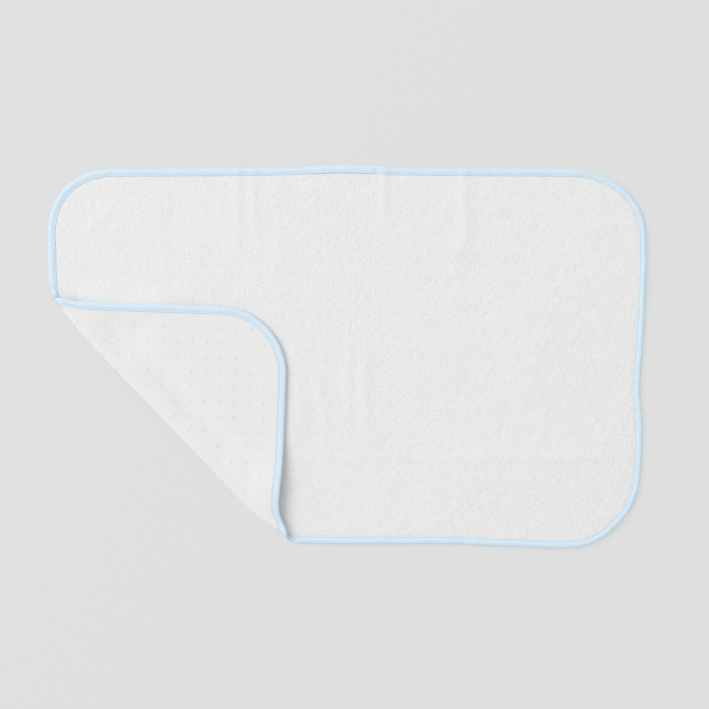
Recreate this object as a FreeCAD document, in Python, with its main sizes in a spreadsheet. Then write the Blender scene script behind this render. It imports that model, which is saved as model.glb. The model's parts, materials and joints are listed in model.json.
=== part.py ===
"""Fabric changing mat, 800 x 500 mm, lying on a table with one corner turned over.

Frame: millimetres, +Z up, the table at z = 0, +X along the mat's length, +Y away from the person,
and the origin at the middle of the mat's rectangle, on the table.

The mat is a sandwich of four cloths held by one binding tape sewn round the edge. It bends where
it is folded, so each cloth is modelled in three flat panels, one for each body that moves:
the left half, the turned corner and the right half. Half-round strips join the left half to the
turned corner round the diagonal fold.
"""

import FreeCAD
import Part
import math
import os
import Sketcher

DIMENSIONS = {
    # the flat mat
    "mat_length": 800.0,
    "mat_width": 500.0,
    "corner_radius": 90.0,
    # the layers, from the table upwards
    "dot_height": 1.0,
    "backing_thickness": 0.8,
    "core_thickness": 1.4,
    "film_thickness": 0.3,
    "terry_thickness": 2.2,
    # the binding: a folded tape that holds the layers' edges
    "tape_thickness": 1.0,
    "cloth_inset": 2.0,
    "binding_width": 10.0,
    "binding_rounding": 2.6,
    # the seam through the binding
    "seam_inset": 8.0,
    "thread_width": 0.6,
    "thread_thickness": 0.3,
    "groove_depth": 0.35,
    # where the binding's two ends lap, on the far edge
    "lap_start": -48.0,
    "lap_length": 87.0,
    "lap_thickness": 0.5,
    "lap_inset": 1.2,
    # the anti-slip dots under the mat
    "dot_diameter": 5.0,
    "dot_pitch": 19.5,
    "dot_phase_x": -0.6,
    "dot_phase_y": -5.1,
    "dot_margin": 13.0,
    # the turned corner: how far along each edge its fold starts, and the bend's size
    "fold_up_left_edge": 324.0,
    "fold_along_near_edge": 312.0,
    "fold_height": 9.0,
    "bend_allowance": 8.5,
    "bend_sweep": 179.0,
    "flap_droop": 1.4,
    # the crease between the two halves
    "crease_x": 46.0,
    "crease_gap": 0.3,
    # boxes and prisms that only trim other shapes reach this far past them
    "spare": 20.0,
}
TERRY_TOP = (
    "(dims.dot_height + dims.backing_thickness + dims.core_thickness"
    " + dims.film_thickness + dims.terry_thickness)"
)
BINDING_TOP = f"({TERRY_TOP} + dims.tape_thickness)"

doc = FreeCAD.newDocument("changing_mat")
dims = doc.addObject("Spreadsheet::Sheet", "dims")
for row, (alias, value) in enumerate(DIMENSIONS.items(), start=1):
    dims.set(f"A{row}", alias)
    dims.set(f"B{row}", str(value))
    dims.setAlias(f"B{row}", alias)
doc.recompute()

sub_parts = []


def size(alias):
    """The number in the sheet's cell of that name."""
    return float(dims.get(alias))


def as_sub_part(feature, name):
    """Names the feature as a piece of the mat, to be written to its own file."""
    feature.Label = name
    sub_parts.append(feature)
    return feature


def boolean(kind, name, base, tool):
    feature = doc.addObject(f"Part::{kind}", name)
    feature.Base = base
    feature.Tool = tool
    return feature


def fused(name, shapes):
    feature = doc.addObject("Part::MultiFuse", name)
    feature.Shapes = shapes
    return feature


def bind(feature, **expressions):
    for prop, text in expressions.items():
        feature.setExpression(prop.replace("_", "."), text)


def box_between(name, low_x, high_x, low_y, high_y, low_z, high_z):
    """A box between six planes, each given as an expression of the sheet's cells."""
    box = doc.addObject("Part::Box", name)
    bind(box, Length=f"{high_x} - {low_x}", Width=f"{high_y} - {low_y}", Height=f"{high_z} - {low_z}")
    for axis, text in (("x", low_x), ("y", low_y), ("z", low_z)):
        box.setExpression(f"Placement.Base.{axis}", text)
    return box


# The mat's plan: a rectangle with rounded corners, inset from the edge by the same amount all round


def rounded_plan(name, inset, low, high):
    """A plate with the mat's plan, inset from its edge, between two heights."""
    body = doc.addObject("PartDesign::Body", name)
    plane = [f for f in body.Origin.OriginFeatures if f.Role == "XY_Plane"][0]
    sketch = body.newObject("Sketcher::SketchObject", f"{name}_outline")
    sketch.AttachmentSupport = [(plane, "")]
    sketch.MapMode = "FlatFace"
    sketch.setExpression("AttachmentOffset.Base.z", low)
    half_length, half_width = size("mat_length") / 2, size("mat_width") / 2
    corners = [
        FreeCAD.Vector(x * half_length, y * half_width, 0) for x, y in ((-1, -1), (1, -1), (1, 1), (-1, 1))
    ]
    for i in range(4):
        sketch.addGeometry(Part.LineSegment(corners[i], corners[(i + 1) % 4]), False)
    for i in range(4):
        sketch.addConstraint(Sketcher.Constraint("Coincident", i, 2, (i + 1) % 4, 1))
    for line, direction in enumerate(("Horizontal", "Vertical", "Horizontal", "Vertical")):
        sketch.addConstraint(Sketcher.Constraint(direction, line))
    sketch.addConstraint(Sketcher.Constraint("Symmetric", 0, 1, 1, 2, -1, 1))
    length = sketch.addConstraint(Sketcher.Constraint("DistanceX", 0, 1, 0, 2, 2 * half_length))
    width = sketch.addConstraint(Sketcher.Constraint("DistanceY", 1, 1, 1, 2, 2 * half_width))
    sketch.setExpression(f"Constraints[{length}]", f"dims.mat_length - 2 * {inset}")
    sketch.setExpression(f"Constraints[{width}]", f"dims.mat_width - 2 * {inset}")
    pad = body.newObject("PartDesign::Pad", f"{name}_plate")
    pad.Profile = sketch
    pad.setExpression("Length", f"{high} - {low}")
    doc.recompute()
    upright = [f"Edge{i}" for i, edge in enumerate(pad.Shape.Edges, start=1)
               if abs(edge.tangentAt(edge.FirstParameter).z) > 0.9]
    rounding = body.newObject("PartDesign::Fillet", f"{name}_corners")
    rounding.Base = (pad, upright)
    rounding.setExpression("Radius", f"dims.corner_radius - {inset}")
    body.Tip = rounding
    doc.recompute()
    return body


def round_the_edge(body, radius):
    """Rounds the plate's upper and lower edges, so that its rim is like a folded tape's."""
    plate = body.Tip
    flat_faces = [f"Face{i}" for i, face in enumerate(plate.Shape.Faces, start=1)
                  if abs(face.normalAt(0, 0).z) > 0.9]
    rim = body.newObject("PartDesign::Fillet", f"{body.Name}_rim")
    rim.Base = (plate, flat_faces)
    rim.setExpression("Radius", radius)
    body.Tip = rim
    doc.recompute()


PRISM_LOW = "(-dims.spare)"
PRISM_HIGH = "(2 * dims.fold_height + dims.spare)"


def prism(name, inset):
    """A tall plate of the mat's plan, for trimming."""
    return rounded_plan(name, inset, PRISM_LOW, PRISM_HIGH)


cloth_prism = prism("cloth_prism", "dims.cloth_inset")
window_prism = prism("window_prism", "dims.binding_width")
seam_outer_prism = prism("seam_outer_prism", "dims.seam_inset")
seam_inner_prism = prism("seam_inner_prism", "(dims.seam_inset + dims.thread_width)")
edge_prism = prism("edge_prism", "0")

# The three bodies' regions, with the mat lying flat

LEFT = "(-dims.mat_length / 2 - dims.spare)"
RIGHT = "(dims.mat_length / 2 + dims.spare)"
NEAR = "(-dims.mat_width / 2 - dims.spare)"
FAR = "(dims.mat_width / 2 + dims.spare)"

# The diagonal fold crosses the left edge and the near edge. fold_along runs from the first crossing
# to the second, and fold_out points from the fold to the corner.
fold_span = math.hypot(size("fold_along_near_edge"), size("fold_up_left_edge"))
fold_along = FreeCAD.Vector(size("fold_along_near_edge"), -size("fold_up_left_edge"), 0) / fold_span
fold_out = FreeCAD.Vector(-size("fold_up_left_edge"), -size("fold_along_near_edge"), 0) / fold_span
fold_middle = FreeCAD.Vector(
    (size("fold_along_near_edge") - size("mat_length")) / 2,
    (size("fold_up_left_edge") - size("mat_width")) / 2,
    0,
)
up = FreeCAD.Vector(0, 0, 1)


def beyond_the_fold(name, offset):
    """A box that starts at an offset from the fold line, square to it, and holds the corner."""
    box = doc.addObject("Part::Box", name)
    bind(
        box,
        Length="dims.mat_width",
        Width="dims.mat_length",
        Height=f"{PRISM_HIGH} - {PRISM_LOW}",
    )
    start = fold_middle + fold_out * offset - fold_along * (size("mat_length") / 2)
    start.z = -size("spare")
    box.Placement = FreeCAD.Placement(start, FreeCAD.Rotation(fold_out, fold_along, up, "ZXY"))
    return box


corner_region = beyond_the_fold("corner_region", size("bend_allowance"))
corner_and_bend = beyond_the_fold("corner_and_bend", -size("bend_allowance"))
left_of_crease = box_between(
    "left_of_crease", LEFT, "(dims.crease_x - dims.crease_gap / 2)", NEAR, FAR, PRISM_LOW, PRISM_HIGH
)
right_region = box_between(
    "right_region", "(dims.crease_x + dims.crease_gap / 2)", RIGHT, NEAR, FAR, PRISM_LOW, PRISM_HIGH
)
left_region = boolean("Cut", "left_region", left_of_crease, corner_and_bend)

# Turning the corner over: half a turn about the fold's axis, and a little more, so that it droops
fold_axis_point = FreeCAD.Vector(fold_middle.x, fold_middle.y, size("fold_height"))
turned_over = FreeCAD.Placement(
    FreeCAD.Vector(0, 0, 0),
    FreeCAD.Rotation(fold_along, -(180.0 + size("flap_droop"))),
    fold_axis_point,
)


def in_panels(whole, name):
    """The left, corner and right panels of one layer. The corner's panel is turned over."""
    left = boolean("Common", f"{name}_left", whole, left_region)
    corner = boolean("Common", f"{name}_corner", whole, corner_region)
    corner.Placement = turned_over
    right = boolean("Common", f"{name}_right", whole, right_region)
    for feature, side in ((left, "left"), (corner, "corner"), (right, "right")):
        as_sub_part(feature, f"{name}_{side}")


# Half-round strips round the diagonal fold: inside the bend is the terry, outside it the backing

bend_centre = fold_axis_point - fold_out * size("bend_allowance")


def half_round(name, low, high, trim):
    """The strip of a layer between two heights, bent round the fold and trimmed to the mat's plan."""
    walls = []
    for suffix, height in (("outside", low), ("inside", high)):
        rod = doc.addObject("Part::Cylinder", f"{name}_{suffix}")
        bind(rod, Radius=f"dims.fold_height - {height}", Height="dims.mat_length")
        rod.Placement = FreeCAD.Placement(
            bend_centre + fold_along * (size("mat_length") / 2),
            FreeCAD.Rotation(-up, fold_out, -fold_along, "ZXY"),
        )
        walls.append(rod)
    walls[0].setExpression("Angle", "dims.bend_sweep")
    tube = boolean("Cut", f"{name}_tube", walls[0], walls[1])
    return boolean("Common", f"{name}_strip", tube, trim)


# The four cloths

LEVELS = {
    "backing_cloth": ("dims.dot_height", "dims.backing_thickness"),
    "absorbent_core": ("(dims.dot_height + dims.backing_thickness)", "dims.core_thickness"),
    "waterproof_film": (
        "(dims.dot_height + dims.backing_thickness + dims.core_thickness)",
        "dims.film_thickness",
    ),
    "terry_top": (f"({TERRY_TOP} - dims.terry_thickness)", "dims.terry_thickness"),
}
for layer, (low, thickness) in LEVELS.items():
    high = f"({low} + {thickness})"
    in_panels(rounded_plan(layer, "dims.cloth_inset", low, high), layer)
    as_sub_part(half_round(layer, low, high, cloth_prism), f"{layer}_bend")

# The binding: a tape folded over the layers' edges, with a groove on each side for the seam

tape_outside = rounded_plan("tape_outside", "0", "0", BINDING_TOP)
round_the_edge(tape_outside, "dims.binding_rounding")
tape_inside = rounded_plan("tape_inside", "dims.cloth_inset", "dims.tape_thickness", TERRY_TOP)
seam_ring = boolean("Cut", "seam_ring", seam_outer_prism, seam_inner_prism)
above_the_seam = box_between(
    "above_the_seam", LEFT, RIGHT, NEAR, FAR, f"({BINDING_TOP} - dims.groove_depth)", PRISM_HIGH
)
below_the_seam = box_between("below_the_seam", LEFT, RIGHT, NEAR, FAR, PRISM_LOW, "dims.groove_depth")
upper_groove = boolean("Common", "upper_groove", seam_ring, above_the_seam)
lower_groove = boolean("Common", "lower_groove", seam_ring, below_the_seam)
tape_hollows = fused("tape_hollows", [tape_inside, window_prism, upper_groove, lower_groove])
in_panels(boolean("Cut", "tape", tape_outside, tape_hollows), "binding")

bent_tape_outside = half_round("bent_tape_outside", "0", BINDING_TOP, edge_prism)
bent_tape_inside = half_round("bent_tape_inside", "dims.tape_thickness", TERRY_TOP, cloth_prism)
bent_tape_hollows = fused("bent_tape_hollows", [bent_tape_inside, window_prism])
as_sub_part(boolean("Cut", "bent_tape", bent_tape_outside, bent_tape_hollows), "binding_bend")

# The seam's two threads: the needle thread on the top, the bobbin thread underneath

for thread, low in (
    ("needle_thread", f"({BINDING_TOP} - dims.groove_depth)"),
    ("bobbin_thread", "(dims.groove_depth - dims.thread_thickness)"),
):
    height_band = box_between(
        f"{thread}_band", LEFT, RIGHT, NEAR, FAR, low, f"({low} + dims.thread_thickness)"
    )
    in_panels(boolean("Common", thread, seam_ring, height_band), thread)

# The binding's turned-under end, which lies over its start on the far edge

lap_plate = rounded_plan(
    "lap_plate", "dims.lap_inset", BINDING_TOP, f"({BINDING_TOP} + dims.lap_thickness)"
)
lap_span = box_between(
    "lap_span", "dims.lap_start", "(dims.lap_start + dims.lap_length)", "0", FAR, PRISM_LOW, PRISM_HIGH
)
lap_strip = boolean("Common", "lap_strip", lap_plate, lap_span)
as_sub_part(boolean("Cut", "lap", lap_strip, window_prism), "binding_overlap")

# The anti-slip dots, in a square grid. The backing was printed before it was cut, so the grid isn't
# centred on the mat, and it runs up to the binding.


def dot_rows(margin_to_edge):
    """The grid's points that lie far enough inside the mat's rounded plan."""
    half_length = size("mat_length") / 2 - margin_to_edge
    half_width = size("mat_width") / 2 - margin_to_edge
    radius = size("corner_radius") - margin_to_edge
    pitch = size("dot_pitch")
    columns = int(half_length / pitch) + 1
    rows = int(half_width / pitch) + 1
    for i in range(-columns, columns + 1):
        for j in range(-rows, rows + 1):
            x = size("dot_phase_x") + i * pitch
            y = size("dot_phase_y") + j * pitch
            past_x = abs(x) - (half_length - radius)
            past_y = abs(y) - (half_width - radius)
            corner_distance = math.hypot(max(0.0, past_x), max(0.0, past_y))
            if max(past_x, past_y) <= radius and corner_distance <= radius:
                yield FreeCAD.Vector(x, y, 0)


def dot_side(point):
    """Which body a dot belongs to, or none where the cloth bends round a fold."""
    past_fold = (point - fold_middle).dot(fold_out)
    clear = size("bend_allowance") + size("dot_diameter") / 2
    past_crease = point.x - size("crease_x")
    if past_fold > clear:
        return "corner"
    if past_fold > -clear or abs(past_crease) < size("dot_diameter"):
        return None
    return "left" if past_crease < 0 else "right"


dots = {"left": [], "corner": [], "right": []}
for point in dot_rows(size("dot_margin")):
    side = dot_side(point)
    if side:
        dots[side].append(Part.makeCylinder(size("dot_diameter") / 2, size("dot_height"), point))
for side, cylinders in dots.items():
    feature = doc.addObject("Part::Feature", f"grip_dots_{side}")
    feature.Shape = Part.makeCompound(cylinders)
    if side == "corner":
        feature.Placement = turned_over
    as_sub_part(feature, f"grip_dots_{side}")

doc.recompute()

failed = [o.Label for o in doc.Objects if {"Invalid", "Error"} & set(o.State)]
failed += [f.Label for f in sub_parts if f.Shape.isNull() or not f.Shape.isValid()]
if failed:
    raise RuntimeError(f"these objects failed: {failed}")

os.makedirs("parts", exist_ok=True)
for feature in sub_parts:
    feature.Shape.exportStep(f"parts/{feature.Label}.step")
    box = feature.Shape.BoundBox
    print(
        f"{feature.Label:24s} {len(feature.Shape.Solids):4d} solids {feature.Shape.Volume:10.1f} mm3"
        f"  z {box.ZMin:6.2f} to {box.ZMax:6.2f}"
    )
print(
    "fold axis through", [round(v, 3) for v in fold_axis_point],
    "along", [round(v, 5) for v in fold_along],
)
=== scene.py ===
# %% [markdown]
# # A folding fabric changing mat, with one corner turned over
#
# The real mat is four cloths laid on one another: looped terry towelling on top, an absorbent felt,
# a thin waterproof film, and a fine knitted backing with rubbery grip dots printed under it. One
# pale blue binding tape is folded over their edges all round and sewn down with a single seam.
#
# Every surface here is first worked out on the flat, cut-out cloth, as arrays of places across it
# and heights in it. One function, `drape`, then lays those places down: it makes the small waves
# that a used cloth has and rolls the corner over. Because every layer goes through the same
# function, the layers stay nested, and nothing has to be fitted afterwards.

import json
import math

import bpy
import numpy as np
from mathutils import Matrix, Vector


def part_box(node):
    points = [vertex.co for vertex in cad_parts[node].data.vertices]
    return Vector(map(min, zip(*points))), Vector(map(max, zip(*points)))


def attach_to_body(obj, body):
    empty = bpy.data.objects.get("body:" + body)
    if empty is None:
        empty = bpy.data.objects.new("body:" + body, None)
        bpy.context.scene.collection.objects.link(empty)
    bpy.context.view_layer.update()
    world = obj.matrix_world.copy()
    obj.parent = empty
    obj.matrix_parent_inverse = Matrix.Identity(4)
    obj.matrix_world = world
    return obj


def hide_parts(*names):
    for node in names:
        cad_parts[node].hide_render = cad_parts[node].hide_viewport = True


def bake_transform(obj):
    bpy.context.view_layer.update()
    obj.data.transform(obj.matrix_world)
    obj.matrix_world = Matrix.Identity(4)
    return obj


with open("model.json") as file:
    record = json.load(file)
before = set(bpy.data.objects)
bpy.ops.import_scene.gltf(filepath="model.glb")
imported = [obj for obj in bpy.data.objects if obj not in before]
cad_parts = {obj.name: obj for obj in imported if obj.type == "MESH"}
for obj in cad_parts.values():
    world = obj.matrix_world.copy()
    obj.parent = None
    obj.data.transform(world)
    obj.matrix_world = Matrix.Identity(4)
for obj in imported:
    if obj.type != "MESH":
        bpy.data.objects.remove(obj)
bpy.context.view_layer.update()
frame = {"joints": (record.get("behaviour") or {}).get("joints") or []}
MM = 0.001

# %% [markdown]
# ## Sizes, read from the frame
#
# The plan is a rectangle with round corners. The layers' heights come from the boxes of the packed
# nodes, and the fold's line from its joint, so the looks follow the design if its sizes change.

# %% Read the mat's sizes
binding_low, binding_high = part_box("binding_right")
HALF_LENGTH = binding_high.x
HALF_WIDTH = binding_high.y
CORNER_RADIUS = 90 * MM
BINDING_WIDTH = 10 * MM
# The dots fill the room under the backing that the tape's lower wing leaves.
DOT_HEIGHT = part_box("grip_dots_right")[1].z
TAPE_THICKNESS = DOT_HEIGHT
BINDING_TOP = binding_high.z
CLOTH_INSET = HALF_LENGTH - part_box("terry_top_right")[1].x
LEVELS = {
    layer: tuple(corner.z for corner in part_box(f"{layer}_right"))
    for layer in ("backing_cloth", "absorbent_core", "waterproof_film", "terry_top")
}
TERRY_TOP = LEVELS["terry_top"][1]

joints = {joint["name"]: joint for joint in frame["joints"]}
ALONG = np.array(joints["corner_fold"]["axis"][:2])
OUT = np.array([ALONG[1], -ALONG[0]])
FOLD_POINT = np.array(joints["corner_fold"]["pos_m"][:2])
FOLD_HEIGHT = joints["corner_fold"]["pos_m"][2]
FOLD_TURN = math.radians(joints["corner_fold"]["range_deg"][1])
BEND = 8.5 * MM
BEND_GROWS = 7.0 * MM
CREASE_X = joints["half_fold"]["pos_m"][0]
CREASE_HALF = 0.6 * MM
print(f"mat {2 * HALF_LENGTH:.3f} x {2 * HALF_WIDTH:.3f} m, {BINDING_TOP / MM:.1f} mm thick at the binding")

# %% [markdown]
# ## The plan of the mat
#
# `edge_distance` says how far inside the rim a place is. `rim` walks round the rim and gives the
# point, the direction of travel and the way in at each length walked. It starts at the far end of
# the crease between the two halves and goes round by the turned corner, so the left half's stretch
# is one run and the right half's is the other.

# %% Distances and the walk round the rim
CORNER_X = HALF_LENGTH - CORNER_RADIUS
CORNER_Y = HALF_WIDTH - CORNER_RADIUS
QUARTER = math.pi / 2
SEAM_X = CREASE_X - CREASE_HALF


def edge_distance(x, y):
    """Distance inside the rim: the corner radius, less the distance from the corner's centre past
    both straight runs, or the distance to the nearer straight edge."""
    past_x = np.abs(x) - CORNER_X
    past_y = np.abs(y) - CORNER_Y
    outside = np.hypot(np.maximum(past_x, 0), np.maximum(past_y, 0))
    inside = np.minimum(np.maximum(past_x, past_y), 0)
    return CORNER_RADIUS - outside - inside


def rim_legs():
    """The rim's straight runs and quarter turns, each with its start, heading and length."""
    turn = CORNER_RADIUS * QUARTER
    return [
        ((SEAM_X, HALF_WIDTH), 2 * QUARTER, SEAM_X + CORNER_X, 0),
        ((-CORNER_X, HALF_WIDTH), 2 * QUARTER, turn, 1),
        ((-HALF_LENGTH, CORNER_Y), 3 * QUARTER, 2 * CORNER_Y, 0),
        ((-HALF_LENGTH, -CORNER_Y), 3 * QUARTER, turn, 1),
        ((-CORNER_X, -HALF_WIDTH), 0, CORNER_X + SEAM_X, 0),
        ((SEAM_X, -HALF_WIDTH), 0, CORNER_X - SEAM_X, 0),
        ((CORNER_X, -HALF_WIDTH), 0, turn, 1),
        ((HALF_LENGTH, -CORNER_Y), QUARTER, 2 * CORNER_Y, 0),
        ((HALF_LENGTH, CORNER_Y), QUARTER, turn, 1),
        ((CORNER_X, HALF_WIDTH), 2 * QUARTER, CORNER_X - SEAM_X, 0),
    ]


LEGS = rim_legs()
LEFT_RIM = sum(leg[2] for leg in LEGS[:5])
FULL_RIM = sum(leg[2] for leg in LEGS)


def rim(walked):
    """Point, heading vector and inward normal at each length walked. On a straight run the point is
    start + heading * length; on a turn the heading angle grows by length / radius and the point
    stays one radius from the turn's centre."""
    walked = np.asarray(walked, float)
    point = np.zeros(walked.shape + (2,))
    angle = np.zeros(walked.shape)
    begun = 0.0
    for start, heading, length, turns in LEGS:
        here = (walked >= begun - 1e-9) & (walked <= begun + length + 1e-9)
        gone = walked[here] - begun
        angle[here] = heading + turns * gone / CORNER_RADIUS
        if turns:
            centre = np.array(start) + CORNER_RADIUS * np.array([-math.sin(heading), math.cos(heading)])
            offset = np.stack([np.sin(angle[here]), -np.cos(angle[here])], -1)
            point[here] = centre + CORNER_RADIUS * offset
        else:
            ahead = np.array([math.cos(heading), math.sin(heading)])
            point[here] = np.array(start) + gone[:, None] * ahead
        begun += length
    ahead = np.stack([np.cos(angle), np.sin(angle)], -1)
    inward = np.stack([-np.sin(angle), np.cos(angle)], -1)
    return point, ahead, inward


print(f"rim {FULL_RIM:.3f} m, of which {LEFT_RIM:.3f} m is on the left half and the turned corner")

# %% [markdown]
# ## The drape
#
# Three things happen to the flat cloth. It lies in slight waves and keeps the creases it was packed
# with. Its corner is rolled over: a place past the start of the bend goes round a half oval whose
# height comes from its own layer, and past the bend's end it runs back over the mat, drooping a
# little. Last, the whole outline is pushed in or out by a few millimetres here and there, because
# a sewn cloth edge is never straight.

# %% Helpers for smooth shapes


def smooth(value, low, high):
    """0 below low, 1 above high, and 3q^2 - 2q^3 between, where q goes from 0 to 1."""
    q = np.clip((value - low) / (high - low), 0, 1)
    return q * q * (3 - 2 * q)


def bump(value, reach):
    """A bell curve: e to the power of minus half the square of value / reach."""
    return np.exp(-0.5 * (value / reach) ** 2)


def ripples(x, y, wavelength, seed, count=28):
    """A smooth random field of about unit height: the mean of many plane waves whose directions and
    phases are random and whose lengths lie within a third of the one asked for."""
    rng = np.random.default_rng(seed)
    total = np.zeros(np.broadcast(x, y).shape)
    for _ in range(count):
        angle, phase = rng.uniform(0, 2 * math.pi, 2)
        step = 2 * math.pi / (wavelength * rng.uniform(0.7, 1.4))
        total += np.sin(step * (x * math.cos(angle) + y * math.sin(angle)) + phase)
    return total * math.sqrt(2.0 / count)


# The stiff binding widens the roll between these distances from the fold's middle.
ENDS_BEGIN = 130 * MM
ENDS_FULL = 232 * MM
SLOW_RISE = 0.75


def fold_ends(along):
    """0 along the middle of the fold, rising to 1 at its two ends, where the stiff binding turns."""
    return smooth(np.abs(along), ENDS_BEGIN, ENDS_FULL)


def roll_start(along):
    """How far before the fold's line the cloth begins to rise: further at the fold's two ends."""
    return BEND + BEND_GROWS * fold_ends(along)


def rise_power(along):
    """The power that the share of the rise is raised to: 1 is even, and more starts slowly."""
    return 1 + SLOW_RISE * fold_ends(along)


def roll_angle(past, along):
    """The roll's angle: a quarter turn from -roll_start to the fold's line, slow at first at the
    fold's ends, and evenly the rest of the turn from there to +BEND."""
    rising = np.clip(1 + past / roll_start(along), 0, 1) ** rise_power(along)
    falling = np.clip(past / BEND, 0, 1)
    return FOLD_TURN / 2 * (rising + falling)


def to_fold(x, y):
    """Flat place to fold place: how far past the fold's line, and how far along it."""
    dx = x - FOLD_POINT[0]
    dy = y - FOLD_POINT[1]
    return dx * OUT[0] + dy * OUT[1], dx * ALONG[0] + dy * ALONG[1]


def from_fold(past, along):
    """The reverse of to_fold."""
    return (
        FOLD_POINT[0] + past * OUT[0] + along * ALONG[0],
        FOLD_POINT[1] + past * OUT[1] + along * ALONG[1],
    )


# %% The waves and creases of the cloth lying on the table
# Each crease: the ends of its line, its height in millimetres and how wide it is across.
CREASES = [
    ((-144, 252), (-145, 145), 1.1, 4.5),
    ((-122, 252), (-124, 170), 0.9, 4.5),
    ((-250, 240), (-246, 110), 0.4, 8.0),
    ((-88, 240), (-92, 60), 0.4, 8.0),
    ((53, 252), (51, 172), 1.3, 4.5),
    ((160, 252), (157, 130), 1.4, 6.5),
    ((150, 150), (149, 50), 0.45, 6.0),
    ((27, 5), (24, -105), 1.2, 6.0),
    ((5, 10), (0, -95), 0.7, 5.0),
    ((-66, 15), (-62, -110), 1.1, 8.0),
    ((-36, -20), (-30, -120), 0.7, 6.0),
    ((-30, -136), (170, -134), 0.7, 4.5),
    ((150, -136), (378, -133), 0.85, 4.5),
    ((0, 14), (180, 12), 0.25, 5.0),
    ((-352, 160), (-300, 214), 0.6, 5.0),
    ((-334, 148), (-286, 190), 0.4, 6.0),
]
# Each swell: the ends of its line, its height and how wide it is across, in the same way.
SWELLS = [
    ((-10, 260), (-10, 215), 1.6, 45),
    ((300, -235), (350, -200), 1.4, 50),
    ((385, 130), (385, 90), 1.2, 40),
    ((-420, 71), (-215, 62), 5.2, 15),
    ((120, -152), (390, -150), 1.5, 26),
    ((240, 90), (262, -40), 1.3, 34),
    ((340, 190), (300, 40), 1.0, 30),
    ((100, 60), (110, -80), 0.8, 34),
]


def lie(x, y):
    """How far the cloth lies above the table: creases and broad swells, each a bell across its own
    line that fades at both ends, and slight ripples, which are taller to the right, where the
    packed cloth was outermost. Never below the table."""
    height = np.zeros(np.broadcast(x, y).shape)
    for (x0, y0), (x1, y1), tall, wide in CREASES + SWELLS:
        length = math.hypot(x1 - x0, y1 - y0) * MM
        ax, ay = (x1 - x0) * MM / length, (y1 - y0) * MM / length
        gone = (x - x0 * MM) * ax + (y - y0 * MM) * ay
        across = (y - y0 * MM) * ax - (x - x0 * MM) * ay
        across = across + 1.5 * MM * np.sin(gone / (17 * MM))
        fade = (8 + wide) * MM
        ends = smooth(gone, -fade, fade) * (1 - smooth(gone, length - 2 * fade, length + fade))
        height += tall * MM * bump(across, wide * MM) * ends
    rightward = smooth(x, -0.2, 0.4)
    height += 0.16 * MM * (1 + np.clip(ripples(x, y, 62 * MM, 11), -1, 1))
    tall = (0.05 + 0.13 * rightward) * MM
    height += tall * (1 + np.clip(ripples(x, y, 25 * MM, 12), -1, 1))
    return height


# %% The turned corner's own shape
# Each swell of the corner: past the fold, along it, height and reach, in millimetres.
CORNER_SWELLS = [
    ((41, 5), -4.4, (8.5, 72)),
    ((50, -124), -4.6, (20, 20)),
    ((50, -176), 2.2, (20, 24)),
    ((66, 176), 9.5, (36, 34)),
    ((96, -100), 1.2, (26, 40)),
    ((120, 30), -1.0, (40, 45)),
]


def corner_shape(past, along):
    """How far the turned corner stands off its straight droop: a shallow valley just inside the
    rolled fold and soft swells, each a bell in both directions, fading in round the roll."""
    height = np.zeros(np.broadcast(past, along).shape)
    for (p0, a0), tall, (reach_p, reach_a) in CORNER_SWELLS:
        height += tall * MM * bump(past - p0 * MM, reach_p * MM) * bump(along - a0 * MM, reach_a * MM)
    height += 0.22 * MM * ripples(past, along, 48 * MM, 21)
    return height * smooth(past, 0.6 * BEND, BEND + 12 * MM)


# %% The outline's pushes
# Each push moves the places round its middle: where, how far (x, y) and its reach, in millimetres.
PUSHES = [
    ((0, 250), (0, 2.6), 230),
    ((-5, 250), (0, 3.4), 42),
    ((400, 130), (2.4, 0), 60),
    ((400, -45), (-6.5, 0), 42),
    ((400, -150), (-4.0, 0), 50),
    ((285, -250), (0, -6.0), 62),
    ((372, -222), (-4.0, 4.5), 38),
    ((-376, 226), (-2.4, 2.0), 32),
    ((-400, 120), (1.9, 0), 50),
    ((-394, 82), (2.5, 0), 16),
    ((-98, -196), (-3.4, 0), 26),
    ((-96, -246), (9.0, 0), 18),
    ((345, 245), (-0.8, -1.6), 24),
    ((395, -90), (2.0, 0), 28),
    ((392, 60), (-0.9, 0), 40),
    ((392, -180), (-1.6, 0), 20),
    ((40, -250), (0, -1.1), 80),
    ((190, -250), (0, -1.6), 20),
    ((290, -250), (0, -1.2), 30),
]


def push(x, y):
    """The sideways push at each place: the sum of the pushes, each fading as a bell."""
    dx = np.zeros(np.broadcast(x, y).shape)
    dy = np.zeros_like(dx)
    for (cx, cy), (px, py), reach in PUSHES:
        share = bump(np.hypot(x - cx * MM, y - cy * MM), reach * MM)
        dx += px * MM * share
        dy += py * MM * share
    return dx, dy


# %% Drape: from flat cloth to its place
ROLL_DEPTH = 7.5 * MM
ROLL_DEPTH_GROWS = 2.3 * MM
INNER_SHARE = 0.7
RUN_OUT = 25 * MM
CLEARANCE = 0.7 * MM
EDGE_SAG = 3.4 * MM
SAG_REACH = 90 * MM
SAG_BEGIN = 10 * MM
SAG_FULL = 70 * MM
REST_BLEND = 0.8 * MM
WAVES_FADE = 60 * MM
WAVES_STOP = 3.5 * MM
LIFT_REACH = 14 * MM


def settle(up, beyond, x, y, rest_x, rest_y):
    """The turned corner's heights once it has come to rest. up is where its backing would be. The
    edge with the free side sinks until its underside is just clear of the cloth below: the larger
    of two heights, blended where they are within about a millimetre."""
    lowest = TERRY_TOP + lie(rest_x, rest_y) + BINDING_TOP + CLEARANCE
    near_edge = 1 - smooth(y + HALF_WIDTH, 0, SAG_REACH)
    sunk = up - EDGE_SAG * near_edge * smooth(beyond, SAG_BEGIN, SAG_FULL)
    gap = sunk - lowest
    return lowest + 0.5 * (gap + np.hypot(gap, REST_BLEND))


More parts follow.
